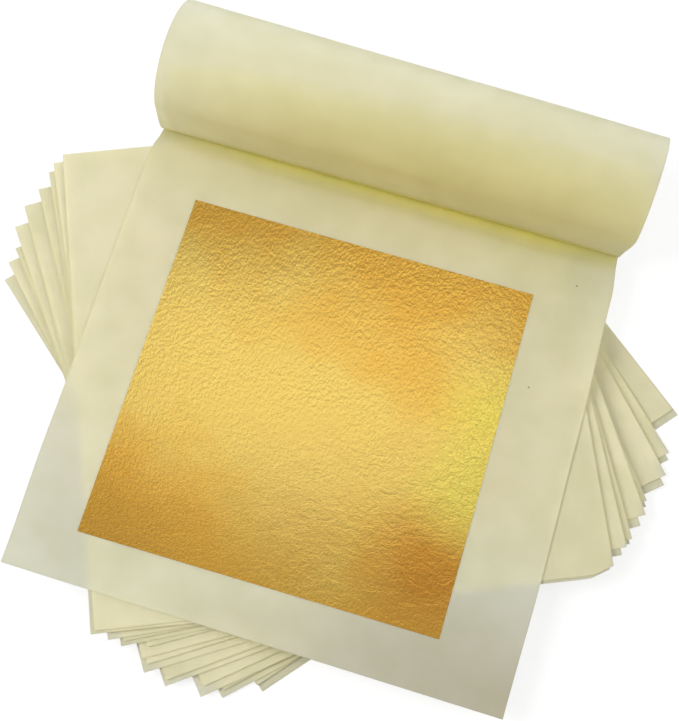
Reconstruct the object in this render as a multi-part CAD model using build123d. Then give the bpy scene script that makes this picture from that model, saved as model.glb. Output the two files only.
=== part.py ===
from build123d import *

# A fanned pack of gold leaf: ten square folders of thin interleaving paper, each folded once and each
# holding one leaf of gold. Nine lie closed and fanned; the tenth lies open on top, its gold leaf bare
# and its cover leaf rolled back to the fold.
# Millimetres. The origin is under the centre of the open page, on the surface that the pack lies on.
# +X runs along the fold of the open page, +Y from its front edge to the fold, +Z up.
import os
from math import cos, degrees, radians, sin

# Paper. Each folder is one sheet, folded once at the back.
paper_side = 110.5
paper_ply = 0.08
folder_height = 0.5
folder_pitch = 0.75

# Gold leaf. Its thickness is a stand-in: real leaf is far thinner.
leaf_side = 80.0
leaf_thickness = 0.02
leaf_turn = 0.6
leaf_place_shares = (-0.020, -0.035)

# The fan, from the folder under the open page down to the lowest: how far each is turned from the
# open page, and where its centre lies from the page's centre, as shares of the paper's side.
fan_turns = (23.5, 26.5, 28.5, 32.0, 34.0, 37.5, 41.5, 45.0, 50.5)
fan_place_shares = (
    (-0.028, 0.080),
    (-0.029, 0.093),
    (-0.026, 0.097),
    (-0.024, 0.098),
    (-0.036, 0.080),
    (-0.033, 0.075),
    (-0.012, 0.081),
    (-0.016, 0.093),
    (-0.015, 0.124),
)

# The cover leaf of the open folder. A short tongue of it still lies flat at the fold; from the crease
# in front of the tongue it stands up, rolls back over itself and ends inside its own roll.
tongue_depth = 4.8
crease_gap = 0.1
crease_rise = 112.0
crease_radius = 13.0
roll_radius = 13.4
roll_taper_share = 0.955
turn_gap = 1.0
seat_gap = 0.3

# Worked out from the sizes above.
paper_half = paper_side / 2
page_z = folder_pitch * len(fan_turns)
crease_y = paper_half - tongue_depth - crease_gap
crease_z = page_z + folder_height - paper_ply / 2
roll_floor_z = page_z - folder_pitch + folder_height + seat_gap + paper_ply / 2
rolled_length = paper_side - tongue_depth - crease_gap


def folded_sheet(upper_depth):
    """A sheet folded at the back: the whole lower ply, the round of the fold, and as much of the
    upper ply as upper_depth gives, from the fold towards the front."""
    bend = folder_height / 2
    bend_y = paper_half - bend
    lip_y = paper_half - upper_depth
    with BuildPart() as sheet:
        with BuildSketch(Plane.YZ):
            with BuildLine():
                Line((-paper_half, 0), (bend_y, 0))
                ThreePointArc((bend_y, 0), (paper_half, bend), (bend_y, folder_height))
                Line((bend_y, folder_height), (lip_y, folder_height))
                Line((lip_y, folder_height), (lip_y, folder_height - paper_ply))
                Line((lip_y, folder_height - paper_ply), (bend_y, folder_height - paper_ply))
                ThreePointArc(
                    (bend_y, folder_height - paper_ply),
                    (paper_half - paper_ply, bend),
                    (bend_y, paper_ply),
                )
                Line((bend_y, paper_ply), (-paper_half, paper_ply))
                Line((-paper_half, paper_ply), (-paper_half, 0))
            make_face()
        extrude(amount=paper_half, both=True)
    return sheet.part


def leaf_on_page():
    """One leaf of gold as it lies on a lower ply, a little off the middle and a little turned."""
    place = Location(
        (
            leaf_place_shares[0] * paper_side,
            leaf_place_shares[1] * paper_side,
            paper_ply,
        ),
        (0, 0, leaf_turn),
    )
    leaf = Box(
        leaf_side, leaf_side, leaf_thickness, align=(Align.CENTER, Align.CENTER, Align.MIN)
    )
    return place * leaf


def whole_scroll(radius):
    """The path of a scroll with no end, as moves: a radius with the degrees it turns, or a straight
    run with none. It starts at the crease and each turn lies one turn_gap inside the last."""
    lean = crease_rise - 90
    centre_z = roll_floor_z + radius - turn_gap
    front_run = centre_z - crease_z - crease_radius * sin(radians(lean))
    moves = [(crease_radius, lean), (front_run, 0)]
    while radius > 2 * turn_gap:
        inner_radius = radius - turn_gap
        moves += [(radius, 180), (inner_radius, 90), (turn_gap, 0), (inner_radius, 90)]
        radius = inner_radius
    return moves


def move_length(size, turn):
    """How much paper a move takes."""
    return size * radians(turn) if turn else size


def moves_reached(moves):
    """How many moves the leaf's length reaches into."""
    used = 0
    for count, move in enumerate(moves, start=1):
        used += move_length(*move)
        if used >= rolled_length:
            break
    return count


def cut_to_leaf(moves, count):
    """The first moves of a scroll, the last of them as long as what is left of the leaf."""
    kept = moves[:count]
    size, turn = kept.pop()
    left = rolled_length - sum(move_length(*move) for move in kept)
    kept.append((size, degrees(left / size)) if turn else (left, 0))
    return kept


def scroll_rail(moves, side):
    """One face of the rolled leaf: its path, moved sideways by side, positive to the outside."""
    heading = Vector(cos(radians(crease_rise)), sin(radians(crease_rise)))
    point = Vector(crease_y, crease_z) + heading.rotate(Axis.Z, 90) * side
    edges = []
    for size, turn in moves:
        if turn:
            edge = JernArc(point, heading, size + side, -turn)
        else:
            edge = PolarLine(point, size, direction=heading)
        edges.append(edge)
        point = edge @ 1
        heading = edge % 1
    return edges


def rolled_leaf_end(x, moves):
    """The rolled leaf's paper edge at one end of the roll, as a face across x."""
    outside = scroll_rail(moves, paper_ply / 2)
    inside = scroll_rail(moves, -paper_ply / 2)
    border = outside + inside
    border.append(Line(outside[0] @ 0, inside[0] @ 0))
    border.append(Line(outside[-1] @ 1, inside[-1] @ 1))
    return Plane.YZ.offset(x) * make_face(border)


def rolled_cover_leaf():
    """The cover leaf's roll: a scroll of one sheet, a little narrower at its right end."""
    left_scroll = whole_scroll(roll_radius)
    right_scroll = whole_scroll(roll_radius * roll_taper_share)
    count = moves_reached(left_scroll)
    left = rolled_leaf_end(-paper_half, cut_to_leaf(left_scroll, count))
    right = rolled_leaf_end(paper_half, cut_to_leaf(right_scroll, count))
    return loft([left, right], ruled=True)


def write(node, solid):
    """Each piece goes to its own file, under its own name."""
    solid.label = node
    export_step(solid, f"parts/{node}.step")


os.makedirs("parts", exist_ok=True)

for number, turn in enumerate(fan_turns, start=1):
    share_x, share_y = fan_place_shares[number - 1]
    lie = Location(
        (share_x * paper_side, share_y * paper_side, page_z - number * folder_pitch),
        (0, 0, turn),
    )
    write(f"folder_{number}", lie * folded_sheet(paper_side))
    write(f"inner_leaf_{number}", lie * leaf_on_page())

page_place = Location((0, 0, page_z))
write("open_page", page_place * folded_sheet(tongue_depth))
write("gold_leaf", page_place * leaf_on_page())
write("rolled_cover_leaf", rolled_cover_leaf())
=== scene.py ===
from math import cos, exp, pi, radians, sin

import bpy
from mathutils import Matrix, Vector


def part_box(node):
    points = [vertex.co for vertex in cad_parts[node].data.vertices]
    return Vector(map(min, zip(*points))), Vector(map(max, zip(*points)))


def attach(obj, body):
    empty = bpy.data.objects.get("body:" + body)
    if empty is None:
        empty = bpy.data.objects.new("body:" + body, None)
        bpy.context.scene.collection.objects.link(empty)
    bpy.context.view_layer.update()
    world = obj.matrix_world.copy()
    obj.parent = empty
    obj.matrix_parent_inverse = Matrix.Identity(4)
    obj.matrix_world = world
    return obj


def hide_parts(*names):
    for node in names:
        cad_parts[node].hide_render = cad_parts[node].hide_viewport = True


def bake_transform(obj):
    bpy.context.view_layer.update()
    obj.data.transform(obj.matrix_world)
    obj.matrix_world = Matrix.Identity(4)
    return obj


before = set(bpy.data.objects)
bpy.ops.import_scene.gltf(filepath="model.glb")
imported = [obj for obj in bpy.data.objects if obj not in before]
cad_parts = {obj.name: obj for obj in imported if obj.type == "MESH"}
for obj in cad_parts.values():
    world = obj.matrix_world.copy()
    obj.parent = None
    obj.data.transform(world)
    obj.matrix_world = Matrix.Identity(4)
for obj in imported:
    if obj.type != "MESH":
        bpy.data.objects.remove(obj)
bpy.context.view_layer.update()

# The nine closed folders. Each is one square-cut sheet of thin cream interleaving tissue, machine
# folded once at the back and pressed flat round its own leaf of gold, then fanned under the open one.
mm = 0.001
page_low, page_high = (Vector(corner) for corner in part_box("open_page"))
paper_side = page_high.x - page_low.x
paper_half = paper_side / 2
paper_ply = 0.08 * mm
folder_height = page_high.z - page_low.z
fold_radius = (folder_height - paper_ply) / 2
bend_line = paper_half - fold_radius - paper_ply / 2
mesh_step = 2.2 * mm
cut_line = 0.35 * mm
fold_steps = 8
sharp_angle = 50
wave_height = 0.07 * mm
wave_length = 38 * mm
corner_wear = 1.5 * mm
corner_reach = 4.5 * mm

# How each folder lies, from the top one down: its turn in degrees, then in millimetres how far its
# upper ply has slipped sideways, how far it ends short of the front, and how far its back right
# corner is drawn in, because it wasn't folded quite square.
fan = (
    (23.5, 0.9, 0.6, 0.0),
    (26.5, 1.3, 1.5, 0.35),
    (28.5, 0.7, 0.9, 0.9),
    (32.0, 1.8, 2.0, 1.4),
    (34.0, 1.1, 1.5, 0.3),
    (37.5, 0.6, 1.1, 0.1),
    (41.5, 1.4, 1.8, 0.55),
    (45.0, 0.9, 1.3, 1.15),
    (50.5, -0.3, 1.7, 2.6),
)

# The paper's tones: the place of each on the ramp that colours the paper, and its colour. Only the
# stacked tone is the paper's own colour; the others are painted light and shade: a painted yellow glow
# deep in a crease, painted shade on the roll's face, painted light on the roll's free ply, and painted
# grey shade towards the page's front right. Every point of a sheet carries its place on this ramp.
painted_glow_tone = 0.0
shaded_tone = 0.3
stacked_tone = 0.5
painted_top_light_tone = 0.75
painted_front_shade_tone = 1.0
paper_and_painted_tones = (
    (painted_glow_tone, "#FFF9A2"),
    (shaded_tone, "#F6F1C4"),
    (stacked_tone, "#FEFBE6"),
    (painted_top_light_tone, "#FBFAEA"),
    (painted_front_shade_tone, "#EAE4CE"),
)


def linear(colour):
    """An sRGB hex colour as the linear colour that a shader takes."""
    parts = [int(colour[place:place + 2], 16) / 255 for place in (1, 3, 5)]
    return [part / 12.92 if part <= 0.04045 else ((part + 0.055) / 1.055) ** 2.4 for part in parts] + [1]


def node(tree, kind, links=(), **settings):
    """Adds one node to a tree. links goes by socket order, or by name as a dict; an entry is a value,
    a socket, or a node, which gives its first output."""
    made = tree.nodes.new(kind)
    for name, value in settings.items():
        setattr(made, name, value)
    for place, value in links.items() if isinstance(links, dict) else enumerate(links):
        if isinstance(value, bpy.types.Node):
            value = value.outputs[0]
        if isinstance(value, bpy.types.NodeSocket):
            tree.links.new(value, made.inputs[place])
        elif value is not None:
            made.inputs[place].default_value = value
    return made


def tissue_paper():
    """Interleaving tissue: thin, matt and half see-through, with a cloudy pulp, short fibres and a stray
    fleck. A painted grey shade line runs along each cut edge. Painted light makes it yellow and glowing
    deep in a crease, where light only comes in through the plies; painted shade darkens the roll's face;
    painted light makes it paler where a ply stands free; and painted shade greys it a little towards the
    page's front right corner. Its fibres are drawn coarser than real ones, which wouldn't show."""
    cloud_size = 7 * mm
    drift_size = 34 * mm
    fleck_spacing = 11 * mm
    fibre_size = 0.7 * mm
    fibre_height = 0.05 * mm
    edge_shade_grey = 0.28
    light_through = 0.6
    paper = bpy.data.materials.new("interleaving_tissue_painted_light")
    paper.use_nodes = True
    tree = paper.node_tree
    tree.nodes.clear()
    sheet = node(tree, "ShaderNodeAttribute", attribute_name="sheet_place").outputs["Vector"]
    edge = node(tree, "ShaderNodeAttribute", attribute_name="cut_edge").outputs["Fac"]
    cloud = node(tree, "ShaderNodeTexNoise", {"Vector": sheet, "Scale": 1 / cloud_size, "Detail": 3})
    drift = node(tree, "ShaderNodeTexNoise", {"Vector": sheet, "Scale": 1 / drift_size, "Detail": 1})
    # Each point's place on the ramp of the paper's own colour and its painted light and shade.
    tone_and_light_place = node(tree, "ShaderNodeAttribute", attribute_name="tone_and_painted_light").outputs["Fac"]
    pulp = node(tree, "ShaderNodeMath", [cloud, drift], operation="ADD")
    tone_ramp_with_painted_light = node(tree, "ShaderNodeValToRGB", [tone_and_light_place])
    for place, colour in paper_and_painted_tones[1:-1]:
        tone_ramp_with_painted_light.color_ramp.elements.new(place)
    for stop, (place, colour) in zip(tone_ramp_with_painted_light.color_ramp.elements, paper_and_painted_tones):
        stop.color = linear(colour)
    clouding = node(tree, "ShaderNodeMapRange", [pulp, 0.75, 1.25, 0.0, 1.0])
    clouded = node(tree, "ShaderNodeMix", {
        "Factor": clouding, "A": tone_ramp_with_painted_light.outputs["Color"], "B": linear("#F9F9F3"),
    }, data_type="RGBA", blend_type="MULTIPLY").outputs["Result"]
    fleck = node(tree, "ShaderNodeTexVoronoi", {"Vector": sheet, "Scale": 1 / fleck_spacing})
    speck = node(tree, "ShaderNodeMapRange", [fleck.outputs["Distance"], 0.014, 0.026, 0.55, 0])
    marked = node(tree, "ShaderNodeMix", {
        "Factor": speck, "A": clouded, "B": linear("#6E5A3C"),
    }, data_type="RGBA").outputs["Result"]
    # Painted shade: a thin grey line along each cut edge.
    cut = node(tree, "ShaderNodeMapRange", [edge, 0, 1, 0, edge_shade_grey])
    edge_shaded = node(tree, "ShaderNodeMix", {
        "Factor": cut, "A": marked, "B": linear("#B9B8A6"),
    }, data_type="RGBA").outputs["Result"]
    fibre = node(tree, "ShaderNodeTexNoise", {"Vector": sheet, "Scale": 1 / fibre_size, "Detail": 4})
    bump = node(tree, "ShaderNodeBump", {"Height": fibre, "Strength": 0.25, "Distance": fibre_height})
    roughness = node(tree, "ShaderNodeMapRange", [cloud, 0.3, 0.7, 0.55, 0.75])
    matt = node(tree, "ShaderNodeBsdfPrincipled", {
        "Base Color": edge_shaded,
        "Roughness": roughness,
        "Specular IOR Level": 0.3,
        "Normal": bump,
    })
    glow = node(tree, "ShaderNodeBsdfTranslucent", {"Color": marked})
    both = node(tree, "ShaderNodeMixShader", [light_through, matt, glow])
    node(tree, "ShaderNodeOutputMaterial", {"Surface": both})
    return paper


def lines_between(start, end, step):
    """Mesh lines from start to end, evenly spread, with one more a cut line's width inside each end."""
    count = max(1, round((end - start) / step))
    even = [start + (end - start) * number / count for number in range(count + 1)]
    return [start, start + cut_line] + even[1:-1] + [end - cut_line, end]


def plain_tone(x, y):
    """The tone of a sheet that lies on other plies, the same at every place."""
    return stacked_tone


def flat_sheet(name, across, along, left_edge, right_edge, seed, open_ends=(), tone=plain_tone):
    """A flat sheet before it is folded. Each point keeps its place on the sheet, its share across, its
    column, its step from the line before it, its tone with painted light and shade, and whether it is on a
    cut edge."""
    shares = [(x - across[0]) / (across[-1] - across[0]) for x in across]
    cut_ends = [end for end in (along[0], along[-1]) if end not in open_ends]
    points = []
    cuts = []
    for share in shares:
        for y in along:
            points.append((left_edge(y) * (1 - share) + right_edge(y) * share, y, 0))
            cuts.append(1.0 if share in (0, 1) or y in cut_ends else 0.0)
    rows = len(along)
    corners = [column * rows + row for column in range(len(across) - 1) for row in range(rows - 1)]
    faces = [(corner, corner + rows, corner + rows + 1, corner + 1) for corner in corners]
    mesh = bpy.data.meshes.new(name)
    mesh.from_pydata(points, [], faces)
    steps = [0.0] + [here - before for before, here in zip(along, along[1:])]
    values = {
        "sheet_place": ("FLOAT_VECTOR", [part for x, y, _ in points for part in (x, y, seed * paper_side)]),
        "share_across": ("FLOAT", [share for share in shares for y in along]),
        "column": ("INT", [column for column in range(len(across)) for y in along]),
        "step": ("FLOAT", steps * len(across)),
        "cut_edge": ("FLOAT", cuts),
        "tone_and_painted_light": ("FLOAT", [tone(x, y) for x, y, _ in points]),
    }
    for label, (kind, numbers) in values.items():
        attribute = mesh.attributes.new(label, kind, "POINT")
        attribute.data.foreach_set("vector" if kind == "FLOAT_VECTOR" else "value", numbers)
    return mesh


def folding_rule():
    """Folds a flat sheet over at its bend line, gives it the soft waves of paper that has been through
    many hands, and lays it at its turn and place in the pack."""
    tree = bpy.data.node_groups.new("folded sheet", "GeometryNodeTree")
    tree.interface.new_socket("Sheet", in_out="INPUT", socket_type="NodeSocketGeometry")
    for name in ("Bend line", "Fold radius", "Slip", "Wave height", "Wave length", "Seed", "Turn"):
        tree.interface.new_socket(name, in_out="INPUT", socket_type="NodeSocketFloat")
    for name in ("Crinkle height", "Crinkle size", "Paper side", "Corner draw"):
        tree.interface.new_socket(name, in_out="INPUT", socket_type="NodeSocketFloat")
    tree.interface.new_socket("Place", in_out="INPUT", socket_type="NodeSocketVector")
    tree.interface.new_socket("Finish", in_out="INPUT", socket_type="NodeSocketMaterial")
    tree.interface.new_socket("Sheet", in_out="OUTPUT", socket_type="NodeSocketGeometry")
    given = node(tree, "NodeGroupInput").outputs
    flat = node(tree, "ShaderNodeSeparateXYZ", [node(tree, "GeometryNodeInputPosition")]).outputs

    # Past the bend line the sheet goes round the fold, and then runs back over itself.
    past = node(tree, "ShaderNodeMath", [flat["Y"], given["Bend line"]], operation="SUBTRACT")
    bent = node(tree, "ShaderNodeMath", [past, 0.0], operation="MAXIMUM")
    turned = node(tree, "ShaderNodeMath", [bent, given["Fold radius"]], operation="DIVIDE")
    angle = node(tree, "ShaderNodeMath", [turned, pi], operation="MINIMUM")
    half_round = node(tree, "ShaderNodeMath", [given["Fold radius"], pi], operation="MULTIPLY")
    beyond = node(tree, "ShaderNodeMath", [bent, half_round], operation="SUBTRACT")
    back = node(tree, "ShaderNodeMath", [beyond, 0.0], operation="MAXIMUM")
    before = node(tree, "ShaderNodeMath", [flat["Y"], given["Bend line"]], operation="MINIMUM")
    out = node(tree, "ShaderNodeMath", [angle], operation="SINE")
    bulge = node(tree, "ShaderNodeMath", [out, given["Fold radius"], before], operation="MULTIPLY_ADD")
    depth = node(tree, "ShaderNodeMath", [bulge, back], operation="SUBTRACT")
    up = node(tree, "ShaderNodeMath", [angle], operation="COSINE")
    rise = node(tree, "ShaderNodeMath", [1.0, up], operation="SUBTRACT")
    height = node(tree, "ShaderNodeMath", [rise, given["Fold radius"]], operation="MULTIPLY")
    side = node(tree, "ShaderNodeMath", [back, given["Slip"], flat["X"]], operation="MULTIPLY_ADD")

    # Long soft waves, and for the gold finer crinkles, are added to its height.
    spot = node(tree, "ShaderNodeCombineXYZ", [side, depth, given["Seed"]])
    fineness = node(tree, "ShaderNodeMath", [1.0, given["Wave length"]], operation="DIVIDE")
    waves = node(tree, "ShaderNodeTexNoise", {"Vector": spot, "Scale": fineness, "Detail": 0.0})
    swing = node(tree, "ShaderNodeMapRange", [waves, 0.2, 0.8, -1.0, 1.0])
    wave = node(tree, "ShaderNodeMath", [swing, given["Wave height"], height], operation="MULTIPLY_ADD")
    crinkle_fineness = node(tree, "ShaderNodeMath", [1.0, given["Crinkle size"]], operation="DIVIDE")
    crinkles = node(tree, "ShaderNodeTexNoise", {
        "Vector": spot, "Scale": crinkle_fineness, "Detail": 2.0, "Distortion": 0.4,
    })
    level = node(tree, "ShaderNodeMath", [crinkles, given["Crinkle height"], wave], operation="MULTIPLY_ADD")

    # The back right corner is drawn in, less and less towards the other corners.
    right_share = node(tree, "ShaderNodeMath", [side, given["Paper side"]], operation="DIVIDE")
    back_share = node(tree, "ShaderNodeMath", [depth, given["Paper side"]], operation="DIVIDE")
    rightward = node(tree, "ShaderNodeMath", [right_share, 0.5], operation="ADD")
    backward = node(tree, "ShaderNodeMath", [back_share, 0.5], operation="ADD")
    to_corner = node(tree, "ShaderNodeMath", [rightward, backward], operation="MULTIPLY")
    draw = node(tree, "ShaderNodeMath", [to_corner, given["Corner draw"]], operation="MULTIPLY")
    drawn_side = node(tree, "ShaderNodeMath", [side, draw], operation="SUBTRACT")
    drawn_depth = node(tree, "ShaderNodeMath", [depth, draw], operation="SUBTRACT")
    folded = node(tree, "ShaderNodeCombineXYZ", [drawn_side, drawn_depth, level])

    # The folded sheet is laid at its turn and place.
    shaped = node(tree, "GeometryNodeSetPosition", {"Geometry": given["Sheet"], "Position": folded})
    turning = node(tree, "ShaderNodeCombineXYZ", {"Z": given["Turn"]})
    laid = node(tree, "GeometryNodeTransform", {
        "Geometry": shaped, "Rotation": turning, "Translation": given["Place"],
    })
    whole = node(tree, "GeometryNodeRealizeInstances", [laid])
    soft = node(tree, "GeometryNodeSetShadeSmooth", {"Geometry": whole})
    finished = node(tree, "GeometryNodeSetMaterial", {"Geometry": soft, "Material": given["Finish"]})
    node(tree, "NodeGroupOutput", [finished])
    return tree


def made_piece(name, flat, rule, sizes, thickness):
    """A piece with a plain mesh: a flat sheet, shaped by its rule and then given its thickness."""
    piece = bpy.data.objects.new(name, flat)
    bpy.context.scene.collection.objects.link(piece)
    shaping = piece.modifiers.new("shape", "NODES")
    shaping.node_group = rule
    for socket in rule.interface.items_tree:
        if socket.in_out == "INPUT" and socket.name in sizes:
            shaping[socket.identifier] = sizes[socket.name]
    ply = piece.modifiers.new("thickness", "SOLIDIFY")
    ply.thickness = thickness
    ply.offset = 0
    bpy.context.view_layer.update()
    evaluated = piece.evaluated_get(bpy.context.evaluated_depsgraph_get())
    mesh = bpy.data.meshes.new_from_object(evaluated)
    piece.modifiers.clear()
    piece.data = mesh
    mesh.set_sharp_from_angle(angle=radians(sharp_angle))
    return piece


def dressed(piece, body, slot, *nodes):
    """The piece rides on its body and stands for its CAD nodes."""
    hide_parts(*nodes)
    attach(piece, body)


def wear_corner(flat, upper_end):
    """Rubs off the front right corner of a flat sheet on both plies, as on a folder picked up by it."""
    for point in flat.vertices:
        front = -paper_half if point.co.y < 0 else upper_end
        from_corner = max(abs(point.co.x - paper_half), abs(point.co.y - front))
        if from_corner < corner_reach:
            inward = corner_wear * (1 - from_corner / corner_reach)
            point.co.y += inward if point.co.y < 0 else -inward


paper = tissue_paper()
folding = folding_rule()
paper_across = lines_between(-paper_half, paper_half, mesh_step)
fold_length = pi * fold_radius
fold_lines = [bend_line + fold_length * step / fold_steps for step in range(fold_steps + 1)]

for number, (turn, slip, short, draw) in enumerate(fan, start=1):
    low, high = (Vector(corner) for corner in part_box(f"folder_{number}"))
    middle = (low + high) / 2
    upper_end = fold_lines[-1] + bend_line + paper_half - short * mm
    lower = lines_between(-paper_half, bend_line, mesh_step)[:-2]
    upper = lines_between(fold_lines[-1], upper_end, mesh_step)[2:]
    flat = flat_sheet(
        f"tissue_folder_{number}",
        paper_across,
        lower + fold_lines + upper,
        lambda y: -paper_half,
        lambda y: paper_half,
        seed=number,
    )
    if number == 1:
        wear_corner(flat, upper_end)
    folder = made_piece(
        f"tissue_folder_{number}",
        flat,
        folding,
        {
            "Bend line": bend_line,
            "Fold radius": fold_radius,
            "Slip": slip * mm / paper_side,
            "Wave height": wave_height,
            "Wave length": wave_length,
            "Crinkle size": wave_length,
            "Paper side": paper_side,
            "Corner draw": draw * mm,
            "Seed": float(number),
            "Turn": radians(turn),
            "Place": (middle.x, middle.y, low.z + paper_ply / 2),
            "Finish": paper,
        },
        paper_ply,
    )
    dressed(folder, f"folder_{number}", "interleaving_paper", f"folder_{number}")

# The open folder's page. The same tissue as the others: its lower ply carries the bare leaf, and a
# narrow tongue of the upper ply still lies flat at the fold, up to where the cover leaf stands up.
page_seed = 10
crease_seam = 52.4 * mm
crease_line = 50.6 * mm
# The painted yellow glow at the crease: how deep and how far its line and its haze reach, and how it weakens
# towards the ends.
line_depth = 0.4
line_reach = 2.4 * mm
haze_depth = 0.1
haze_reach = 9 * mm
left_end_share = 0.45
right_end_share = 0.55
crease_fade = 45 * mm
# Painted shade, a little grey, towards the page's front right: where it starts, how far it fades in, and its
# share at the left.
front_shade_from = 10 * mm
front_shade_fade = 40 * mm
front_shade_left_share = 0.3
left_drifts = ((-55, 0.3), (-24, -0.5), (45, -1.4), (50.5, -0.3), (56, -0.2))
right_drifts = ((-55, 0.0), (-27, 0.3), (10, -0.1), (41, -0.8), (51, -1.8), (56, -1.8))


def eased(share):
    """A share from 0 to 1 that sets off and arrives gently."""
    return share * share * (3 - 2 * share)


def drifted(pairs, place):
    """A small sideways drift at a place, in metres, eased between pairs of place and drift in mm."""
    place = min(max(place / mm, pairs[0][0]), pairs[-1][0])
    for (start, before), (end, after) in zip(pairs, pairs[1:]):
        if place <= end:
            return (before + (after - before) * eased((place - start) / (end - start))) * mm


def over_the_fold(y):
    """How far back a place on the page's flat sheet lies once the sheet is folded."""
    return min(y, fold_lines[-1] + bend_line - y)


def painted_crease_glow(x, from_crease):
    """Painted light near the crease: a yellow glow standing in for light that only comes in through the
    plies, as a narrow line and a wider haze, both weaker towards the ends of the crease."""
    from_left = left_end_share + (x + paper_half) / crease_fade
    from_right = right_end_share + (paper_half - x) / crease_fade
    line = line_depth * exp(-(from_crease / line_reach) ** 2)
    haze = haze_depth * exp(-(from_crease / haze_reach) ** 2)
    return stacked_tone - (line + haze) * min(1.0, from_left, from_right)


def page_tone(x, y):
    """The page's tone: a painted yellow glow at the crease, and painted shade, a little grey, towards its
    front right corner."""
    forward = min(max((-y - front_shade_from) / front_shade_fade, 0), 1)
    rightward = (x + paper_half) / paper_side
    front_shade = forward * (front_shade_left_share + (1 - front_shade_left_share) * rightward)
    return painted_crease_glow(x, over_the_fold(y) - crease_line) + (painted_front_shade_tone - stacked_tone) * front_shade


tongue_end = fold_lines[-1] + bend_line - crease_seam
tongue_lines = [fold_lines[-1] + (tongue_end - fold_lines[-1]) * share for share in (0.5, 1)]
page_along = lines_between(-paper_half, bend_line, mesh_step)[:-2] + fold_lines + tongue_lines
page_place = (0, 0, page_low.z + paper_ply / 2)
page_sizes = {
    "Bend line": bend_line,
    "Fold radius": fold_radius,
    "Slip": 0.0,
    "Wave height": wave_height,
    "Wave length": wave_length,
    "Crinkle size": wave_length,
    "Paper side": paper_side,
    "Corner draw": 0.0,
    "Seed": float(page_seed),
    "Turn": 0.0,
    "Place": page_place,
    "Finish": paper,
}
page = made_piece(
    "open_tissue_page",
    flat_sheet(
        "open_tissue_page",
        paper_across,
        page_along,
        lambda y: -paper_half + drifted(left_drifts, over_the_fold(y)),
        lambda y: paper_half + drifted(right_drifts, over_the_fold(y)),
        seed=page_seed,
        open_ends=(page_along[-1],),
        tone=page_tone,
    ),
    folding,
    page_sizes,
    paper_ply,
)
dressed(page, "open_page", "interleaving_paper", "open_page")

# The cover leaf: the open folder's upper ply, lifted at a crease in front of the fold and rolled back
# over itself by hand. It is one sheet with the tongue, so a short strip of it bends at the crease.
crease_z = page_high.z - paper_ply / 2
leaf_length = 107.6 * mm
crease_radius = 1.2 * mm
crease_turn = 68
lean_radius = 13 * mm
lean_turn = 22
turn_gap = 1.0 * mm
left_roll = {"crease": 50.5 * mm, "run": 7.6 * mm, "radius": 13.15 * mm}
right_roll = {"crease": 51.1 * mm, "run": 7.7 * mm, "radius": 12.35 * mm}
strip_length = 5.2 * mm
strip_steps = 16
seam_slack = 0.01 * mm
roll_step = 1.1 * mm
roll_sway = 0.012
roll_sway_length = 55 * mm
left_rim = ((0, -0.3), (6, -0.3), (110, 1.9))
right_rim = ((0, -1.9), (4, -1.7), (15, -0.1), (50, 0.5), (75, -0.4), (110, -0.9))
# Painted light on the rolled ply where it stands free: it eases in between these places along the sheet.
free_from = 26 * mm
free_to = 46 * mm
# Painted shade on the roll's face: its middle and half width across, how far from the crease it is deepest,
# and how far it reaches.
shade_middle = 15 * mm
shade_half_width = 70 * mm
shade_along = 20 * mm
shade_reach = 13 * mm


def rolled_tone(x, y):
    """The rolled leaf's tone: the painted yellow glow at the crease, painted shade where it leans over
    the page, and painted light, paler and less yellow, where the ply stands free."""
    free = eased(min(max((y - free_from) / (free_to - free_from), 0), 1))
    from_crease = y - (crease_seam - crease_line)
    central = 1 - ((x - shade_middle) / shade_half_width) ** 2
    shade = (stacked_tone - shaded_tone) * central * exp(-((from_crease - shade_along) / shade_reach) ** 2)
    return painted_crease_glow(x, from_crease) - shade + (painted_top_light_tone - stacked_tone) * free


def bends(end):
    """Where the sheet bends at one end of the roll, measured along it from the seam on the tongue: the
    start and end of each bend and the degrees that it turns. Between the bends the sheet is straight."""
    inner = end["radius"] - turn_gap
    stretches = (
        (crease_seam - end["crease"] - crease_radius * radians(crease_turn) / 2, 0),
        (crease_radius, crease_turn),
        (lean_radius, lean_turn),
        (end["run"], 0),
        (end["radius"], 180),
        (inner, 90),
        (turn_gap, 0),
        (inner, 180),
    )
    found = []
    reached = 0
    for size, turn in stretches:
        length = size * radians(turn) if turn else size
        if turn:
            found.append((reached, reached + length, turn))
        reached += length
    return found


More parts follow.
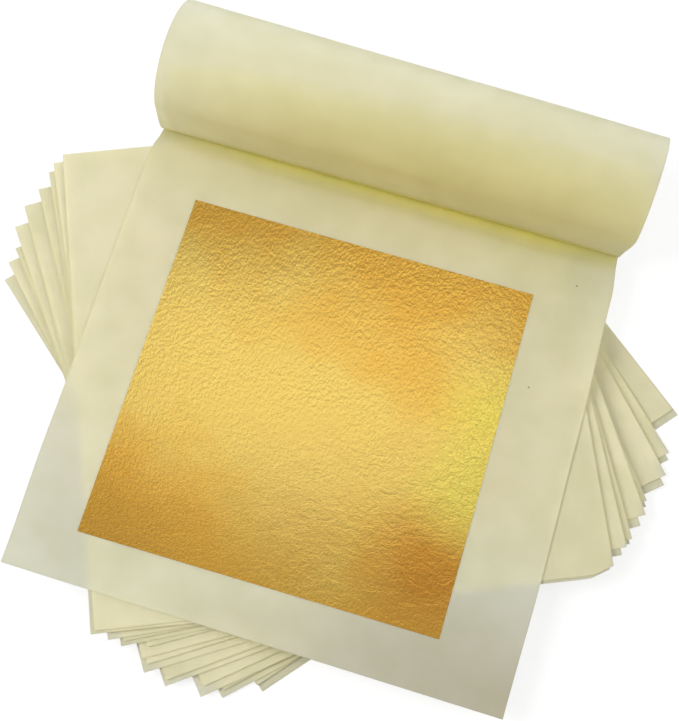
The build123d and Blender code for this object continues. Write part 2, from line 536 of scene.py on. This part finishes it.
def rolling_rule():
    """Rolls a flat sheet up: it walks along each column of the sheet and turns with every bend, from
    the seam on the tongue to the sheet's free end, and keeps the stretch between From and To."""
    tree = bpy.data.node_groups.new("rolled sheet", "GeometryNodeTree")
    tree.interface.new_socket("Sheet", in_out="INPUT", socket_type="NodeSocketGeometry")
    for name in ("From", "To", "Start depth", "Start height", "Sway", "Sway length"):
        tree.interface.new_socket(name, in_out="INPUT", socket_type="NodeSocketFloat")
    tree.interface.new_socket("Finish", in_out="INPUT", socket_type="NodeSocketMaterial")
    tree.interface.new_socket("Sheet", in_out="OUTPUT", socket_type="NodeSocketGeometry")
    given = node(tree, "NodeGroupInput").outputs
    position = node(tree, "GeometryNodeInputPosition")
    flat = node(tree, "ShaderNodeSeparateXYZ", [position]).outputs
    share = node(tree, "GeometryNodeInputNamedAttribute", {"Name": "share_across"})
    step = node(tree, "GeometryNodeInputNamedAttribute", {"Name": "step"})
    column = node(tree, "GeometryNodeInputNamedAttribute", {"Name": "column"}, data_type="INT")

    # Each step's heading, at its middle: forwards along the tongue, less all the bends up to there.
    middle = node(tree, "ShaderNodeMath", [step, -0.5, flat["Y"]], operation="MULTIPLY_ADD")
    fineness = node(tree, "ShaderNodeMath", [1.0, given["Sway length"]], operation="DIVIDE")
    noise = node(tree, "ShaderNodeTexNoise", {"Vector": position, "Scale": fineness, "Detail": 0.0})
    swing = node(tree, "ShaderNodeMapRange", [noise, 0.2, 0.8, -1.0, 1.0])
    heading = node(tree, "ShaderNodeMath", [swing, given["Sway"], pi], operation="MULTIPLY_ADD")
    for (start, end, turn), (far_start, far_end, _) in zip(bends(left_roll), bends(right_roll)):
        begins = node(tree, "ShaderNodeMix", [share, None, start, far_start], data_type="FLOAT")
        ends = node(tree, "ShaderNodeMix", [share, None, end, far_end], data_type="FLOAT")
        turned = node(tree, "ShaderNodeMapRange", [middle, begins, ends, 0.0, radians(turn)])
        heading = node(tree, "ShaderNodeMath", [heading, turned], operation="SUBTRACT")

    # The steps are added up along each column, from the seam on.
    ahead = node(tree, "ShaderNodeMath", [heading], operation="COSINE")
    upward = node(tree, "ShaderNodeMath", [heading], operation="SINE")
    way = node(tree, "ShaderNodeCombineXYZ", {"Y": ahead, "Z": upward})
    stride = node(tree, "ShaderNodeVectorMath", {"Vector": way, "Scale": step}, operation="SCALE")
    walked = node(tree, "GeometryNodeAccumulateField", {
        "Value": stride, "Group ID": column,
    }, data_type="FLOAT_VECTOR")
    start = node(tree, "ShaderNodeCombineXYZ", [flat["X"], given["Start depth"], given["Start height"]])
    place = node(tree, "ShaderNodeVectorMath", [start, walked.outputs["Leading"]], operation="ADD")

    # The rolled sheet keeps only its stretch between From and To.
    kept_place = node(tree, "GeometryNodeStoreNamedAttribute", {
        "Geometry": given["Sheet"], "Name": "along_sheet", "Value": flat["Y"],
    })
    rolled = node(tree, "GeometryNodeSetPosition", {"Geometry": kept_place, "Position": place})
    along = node(tree, "GeometryNodeInputNamedAttribute", {"Name": "along_sheet"})
    early = node(tree, "FunctionNodeCompare", [along, given["From"]], operation="LESS_THAN")
    late = node(tree, "FunctionNodeCompare", [along, given["To"]], operation="GREATER_THAN")
    outside = node(tree, "FunctionNodeBooleanMath", [early, late], operation="OR")
    kept = node(tree, "GeometryNodeDeleteGeometry", {"Geometry": rolled, "Selection": outside})
    whole = node(tree, "GeometryNodeRealizeInstances", [kept])
    soft = node(tree, "GeometryNodeSetShadeSmooth", {"Geometry": whole})
    finished = node(tree, "GeometryNodeSetMaterial", {"Geometry": soft, "Material": given["Finish"]})
    node(tree, "NodeGroupOutput", [finished])
    return tree


rolling = rolling_rule()
strip_lines = [strip_length * number / strip_steps for number in range(strip_steps)]
roll_lines = lines_between(strip_length, leaf_length, roll_step)
roll_along = strip_lines + roll_lines[:1] + roll_lines[2:]


def rolled_stretch(name, start, end):
    """The rolled sheet's stretch between two of its lines."""
    return made_piece(
        name,
        flat_sheet(
            name,
            paper_across,
            roll_along,
            lambda y: -paper_half + drifted(left_rim, y),
            lambda y: paper_half + drifted(right_rim, y),
            seed=page_seed + 1,
            open_ends=(roll_along[0],),
            tone=rolled_tone,
        ),
        rolling,
        {
            "From": start - seam_slack,
            "To": end + seam_slack,
            "Start depth": crease_seam,
            "Start height": crease_z,
            "Sway": roll_sway,
            "Sway length": roll_sway_length,
            "Finish": paper,
        },
        paper_ply,
    )


strip = rolled_stretch("cover_leaf_crease", 0, strip_length)
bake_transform(strip)
roll = rolled_stretch("rolled_tissue_leaf", strip_length, leaf_length)
dressed(roll, "cover_leaf", "interleaving_paper", "rolled_cover_leaf")

# The gold leaves: 23 carat gold beaten to a film, which takes every ripple of the tissue under it. The
# bare one on the page is finely crinkled all over; the nine inside the folders are pressed smooth.
leaf_low, leaf_high = (Vector(corner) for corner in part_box("gold_leaf"))
leaf_side = 80 * mm
leaf_turn = 0.6
leaf_thickness = 0.02 * mm
leaf_place = (leaf_low + leaf_high) / 2
leaf_lift = 0.015 * mm
crinkle_height = 0.05 * mm
crinkle_size = 6 * mm
leaf_step = 0.6 * mm
inner_leaf_step = 4 * mm

# Painted reflection: patches where the leaf's colour is drawn paler or deeper, for the light it mirrors:
# the middle of each on the leaf, how far it is full and how far it reaches, its strength there, and its
# colour.
painted_reflection_patches = (
    ((2 * mm, -20 * mm, 0), 6 * mm, 20 * mm, 0.7, "#FCD674"),
    ((34 * mm, -27 * mm, 0), 5 * mm, 18 * mm, 1.0, "#E6A645"),
    ((-40 * mm, -40 * mm, 0), 8 * mm, 30 * mm, 1.0, "#E6B04B"),
    ((39 * mm, 9 * mm, 0), 3 * mm, 16 * mm, 0.75, "#FFE96C"),
    ((38 * mm, -9 * mm, 0), 3 * mm, 15 * mm, 0.75, "#FFE96C"),
)


def beaten_gold():
    """Beaten gold leaf: a warm, soft mirror, with a painted reflection in its colour: a paler band across
    it and paler and deeper patches. It takes on a fine pebble from the tissue, a little under a millimetre
    across, and longer wrinkles towards its right edge. Both are a fraction of a millimetre deep. The
    pebble is also drawn in the colour as a painted glint and painted shade, paler on one side of each
    bump and deeper on the other, because so fine a relief hardly shows in the render."""
    band_place = 1 * mm
    band_slant = 0.22
    band_swing = 12 * mm
    band_swing_size = 22 * mm
    band_full = 12 * mm
    band_reach = 34 * mm
    pebble_size = 0.78 * mm
    pebble_light = (0.17 * mm, -0.21 * mm, 0)
    calm_size = 13 * mm
    wrinkle_size = 2.2 * mm
    wrinkles_from = -12 * mm
    wrinkles_to = 30 * mm
    relief_height = 0.12 * mm
    gold = bpy.data.materials.new("beaten_gold_leaf")
    gold.use_nodes = True
    tree = gold.node_tree
    tree.nodes.clear()
    place = node(tree, "ShaderNodeAttribute", attribute_name="sheet_place").outputs["Vector"]
    across = node(tree, "ShaderNodeSeparateXYZ", [place]).outputs

    # The painted reflection: the paler band and the paler and deeper patches.
    drift = node(tree, "ShaderNodeTexNoise", {"Vector": place, "Scale": 1 / band_swing_size, "Detail": 2})
    swing = node(tree, "ShaderNodeMapRange", [drift, 0.3, 0.7, -band_swing, band_swing])
    slant = node(tree, "ShaderNodeMath", [across["X"], band_slant, across["Y"]], operation="MULTIPLY_ADD")
    band = node(tree, "ShaderNodeMath", [slant, swing], operation="ADD")
    off_band = node(tree, "ShaderNodeMath", [band, band_place], operation="SUBTRACT")
    distance = node(tree, "ShaderNodeMath", [off_band], operation="ABSOLUTE")
    spread = node(tree, "ShaderNodeMapRange", [distance, band_full, band_reach, 1, 0])
    tone = node(tree, "ShaderNodeMix", {
        "Factor": spread, "A": linear("#F7C054"), "B": linear("#FAD670"),
    }, data_type="RGBA").outputs["Result"]
    on_leaf = node(tree, "ShaderNodeCombineXYZ", [across["X"], across["Y"]])
    for middle, inside, outside, share, shade in painted_reflection_patches:
        away = node(tree, "ShaderNodeVectorMath", [on_leaf, middle], operation="DISTANCE").outputs["Value"]
        fade = node(tree, "ShaderNodeMapRange", [away, inside, outside, share, 0])
        tone = node(tree, "ShaderNodeMix", {
            "Factor": fade, "A": tone, "B": linear(shade),
        }, data_type="RGBA").outputs["Result"]

    # The pebble, here and a little way off: the difference is its slope, drawn in the colour as a
    # painted glint or painted shade.
    upright = node(tree, "ShaderNodeVectorMath", [place, (1.25, 0.85, 1)], operation="MULTIPLY")
    level = node(tree, "ShaderNodeVectorMath", [place, (0.8, 1.25, 1)], operation="MULTIPLY")
    beside = node(tree, "ShaderNodeVectorMath", [upright, pebble_light], operation="ADD")
    pebbles = [
        node(tree, "ShaderNodeTexNoise", {
            "Vector": spot, "Scale": 1 / pebble_size, "Detail": 3, "Roughness": 0.65, "Distortion": 0.5,
        })
        for spot in (upright, beside)
    ]
    slope = node(tree, "ShaderNodeMath", pebbles, operation="SUBTRACT")
    calm = node(tree, "ShaderNodeTexNoise", {"Vector": level, "Scale": 1 / calm_size, "Detail": 1})
    liveliness = node(tree, "ShaderNodeMapRange", [calm, 0.35, 0.65, 0.5, 1.5])
    relief = node(tree, "ShaderNodeMath", [slope, liveliness], operation="MULTIPLY")
    glint = node(tree, "ShaderNodeMapRange", [relief, -0.12, 0.12, 0.8, 1.13])
    pebbled = node(tree, "ShaderNodeVectorMath", {"Vector": tone, "Scale": glint}, operation="SCALE")

    # The relief: the pebble, and wrinkles that grow towards the right edge.
    wrinkle = node(tree, "ShaderNodeTexNoise", {
        "Vector": level, "Scale": 1 / wrinkle_size, "Detail": 3, "Distortion": 1.2,
    })
    rightward = node(tree, "ShaderNodeMapRange", [across["X"], wrinkles_from, wrinkles_to, 0.12, 0.85])
    furrow = node(tree, "ShaderNodeMath", [wrinkle, rightward], operation="MULTIPLY")
    height = node(tree, "ShaderNodeMath", [pebbles[0], 0.55, furrow], operation="MULTIPLY_ADD")
    bump = node(tree, "ShaderNodeBump", {"Height": height, "Strength": 0.6, "Distance": relief_height})
    metal = node(tree, "ShaderNodeBsdfPrincipled", {
        "Base Color": pebbled,
        "Metallic": 1.0,
        "Roughness": 0.14,
        "Normal": bump,
    })
    node(tree, "ShaderNodeOutputMaterial", {"Surface": metal})
    return gold


gold = beaten_gold()


def leaf_of_gold(name, step, seed, turn, place, corner_draw, crinkle):
    """One leaf as it lies on a ply: a flat square, moved to its place on the sheet before the sheet's
    own waves, turn and place are given to it."""
    lines = lines_between(-leaf_side / 2, leaf_side / 2, step)
    flat = flat_sheet(
        name,
        lines,
        lines,
        lambda y: -leaf_side / 2,
        lambda y: leaf_side / 2,
        seed=seed,
    )
    turned = Matrix.Rotation(radians(leaf_turn), 4, "Z")
    flat.transform(Matrix.Translation((leaf_place.x, leaf_place.y, 0)) @ turned)
    sizes = dict(page_sizes)
    sizes.update({
        "Seed": float(seed),
        "Turn": radians(turn),
        "Place": (place[0], place[1], place[2] + paper_ply / 2 + leaf_thickness / 2 + leaf_lift),
        "Corner draw": corner_draw,
        "Crinkle height": crinkle,
        "Crinkle size": crinkle_size,
        "Finish": gold,
    })
    return made_piece(name, flat, folding, sizes, leaf_thickness)


for number, (turn, _, _, draw) in enumerate(fan, start=1):
    low, high = (Vector(corner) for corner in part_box(f"folder_{number}"))
    middle = (low + high) / 2
    place = (middle.x, middle.y, low.z + paper_ply / 2)
    inner = leaf_of_gold(f"pressed_leaf_{number}", inner_leaf_step, number, turn, place, draw * mm, 0.0)
    dressed(inner, f"folder_{number}", "gold_leaf", f"inner_leaf_{number}")

bare_leaf = leaf_of_gold("bare_gold_leaf", leaf_step, page_seed, 0, page_place, 0.0, crinkle_height)
dressed(bare_leaf, "gold_leaf", "gold_leaf", "gold_leaf")

# The studio: a pale sweep that the pack lies on, a soft lamp at each side, a low one behind that shines
# through the rolled leaf, a strip overhead that the gold mirrors, and an even sky.
sweep_radius = 1200 * mm
sweep_round = 300 * mm
sweep_height = 900 * mm
sweep_round_steps = 8
sweep_sides = 96
floor_ring_share = 0.25
near_floor = 250 * mm
far_floor = 500 * mm


def pale_sweep():
    """Seamless studio card: white to the eye, with the object's shadow. To the light that falls on the
    tissue and goes through it, it is a cool pale grey near the pack and as bright as the sky far off."""
    near_shine = 0.72
    far_light = 0.56
    card = bpy.data.materials.new("seamless_studio_card")
    card.use_nodes = True
    tree = card.node_tree
    tree.nodes.clear()
    ray = node(tree, "ShaderNodeLightPath").outputs
    seen = node(tree, "ShaderNodeMath", [ray["Is Camera Ray"], ray["Is Glossy Ray"]], operation="MAXIMUM")
    through = [ray["Is Transmission Ray"], ray["Is Diffuse Ray"]]
    clear = node(tree, "ShaderNodeMath", through, operation="SUBTRACT")
    shown = node(tree, "ShaderNodeMath", [seen, clear], operation="MAXIMUM")
    place = node(tree, "ShaderNodeTexCoord").outputs["Object"]
    reach = node(tree, "ShaderNodeVectorMath", [place], operation="LENGTH").outputs["Value"]
    far = node(tree, "ShaderNodeMapRange", [reach, near_floor, far_floor, 0, 1])
    shine = node(tree, "ShaderNodeMapRange", [far, 0, 1, near_shine, 1])
    glow = node(tree, "ShaderNodeEmission", {"Color": linear("#FFFFFF"), "Strength": shine})
    lit = node(tree, "ShaderNodeBsdfDiffuse", {"Color": linear("#9A9A9A")})
    white = node(tree, "ShaderNodeAddShader", [glow, lit])
    grey = node(tree, "ShaderNodeBsdfDiffuse", {"Color": linear("#747C9A")})
    bright = node(tree, "ShaderNodeEmission", {"Color": linear("#FFFFFF"), "Strength": far_light})
    card_light = node(tree, "ShaderNodeMixShader", [far, grey, bright])
    both = node(tree, "ShaderNodeMixShader", [shown, card_light, white])
    node(tree, "ShaderNodeOutputMaterial", {"Surface": both})
    return card


def sweep_mesh():
    """A round floor that curves up into a wall, as rings of radius and height round one middle point."""
    floor_radius = sweep_radius - sweep_round
    rings = [(floor_ring_share * sweep_radius, 0), (floor_radius, 0)]
    for step in range(1, sweep_round_steps + 1):
        angle = pi / 2 * step / sweep_round_steps
        rings.append((floor_radius + sweep_round * sin(angle), sweep_round * (1 - cos(angle))))
    rings.append((sweep_radius, sweep_height))
    points = [(0, 0, 0)]
    for radius, height in rings:
        for number in range(sweep_sides):
            angle = 2 * pi * number / sweep_sides
            points.append((radius * cos(angle), radius * sin(angle), height))
    faces = [(0, 1 + number, 1 + (number + 1) % sweep_sides) for number in range(sweep_sides)]
    for ring in range(len(rings) - 1):
        here = 1 + ring * sweep_sides
        outer = here + sweep_sides
        for number in range(sweep_sides):
            after = (number + 1) % sweep_sides
            faces.append((here + number, outer + number, outer + after, here + after))
    mesh = bpy.data.meshes.new("studio_sweep")
    mesh.from_pydata(points, [], faces)
    mesh.polygons.foreach_set("use_smooth", [True] * len(faces))
    return mesh


sweep = bpy.data.objects.new("studio_sweep", sweep_mesh())
sweep.data.materials.append(pale_sweep())
bpy.context.scene.collection.objects.link(sweep)


def soft_lamp(name, place, aim, width, height, power, slant=0):
    """A rectangular soft box that faces a point, turned about its own aim by its slant in degrees. Its
    place and size are in metres and its power is in watts."""
    lamp = bpy.data.lights.new(name, "AREA")
    lamp.shape = "RECTANGLE"
    lamp.size = width
    lamp.size_y = height
    lamp.energy = power
    box = bpy.data.objects.new(name, lamp)
    box.location = place
    facing = (Vector(aim) - Vector(place)).to_track_quat("-Z", "Y")
    box.rotation_euler = (facing.to_matrix() @ Matrix.Rotation(radians(slant), 3, "Z")).to_euler()
    bpy.context.scene.collection.objects.link(box)


pack_middle = (0, 0, 0)
roll_middle = (0, 0.05, 0.02)
soft_lamp("left_soft_box", (-0.38, -0.12, 0.42), pack_middle, width=0.3, height=0.3, power=1.95)
soft_lamp("right_soft_box", (0.42, 0.02, 0.36), pack_middle, width=0.3, height=0.3, power=0.65)
soft_lamp("back_glow", (0, 0.7, 0.15), roll_middle, width=0.6, height=0.15, power=2.05)
soft_lamp(
    "overhead_strip", (-0.06, 0.161, 0.6), pack_middle, width=0.3, height=0.155, power=0.071, slant=-8,
)

sky = bpy.data.worlds.new("studio_sky")
sky.use_nodes = True
sky.node_tree.nodes.clear()
light = node(sky.node_tree, "ShaderNodeBackground", {"Color": linear("#FFFFFF"), "Strength": 0.5})
node(sky.node_tree, "ShaderNodeOutputWorld", {"Surface": light})
bpy.context.scene.world = sky

# The camera stands above the front right of the page, where the photograph was taken from, and its
# roll and small shift frame the pack as there.
camera_place = Vector((25.756, -80.519, 305.685)) * mm
camera_aim = Vector((-0.06932, 0.28756, -0.95525))
camera_up = Vector((-0.28503, 0.91193, 0.29521))
focal_pixels = 1411.6
picture_width = 679
picture_height = 721
middle_pixel = (357.05, 362.36)

camera_data = bpy.data.cameras.new("photo_camera")
camera_data.sensor_width = 36
camera_data.sensor_fit = "HORIZONTAL"
camera_data.lens = focal_pixels / picture_width * camera_data.sensor_width
camera_data.shift_x = (picture_width / 2 - middle_pixel[0]) / picture_width
camera_data.shift_y = (middle_pixel[1] - picture_height / 2) / picture_width
camera = bpy.data.objects.new("photo_camera", camera_data)
back = -camera_aim.normalized()
right = camera_up.cross(back).normalized()
above = back.cross(right)
camera.matrix_world = Matrix.Translation(camera_place) @ Matrix((right, above, back)).transposed().to_4x4()
bpy.context.scene.collection.objects.link(camera)
bpy.context.scene.camera = camera

bpy.context.scene.view_settings.view_transform = "Standard"
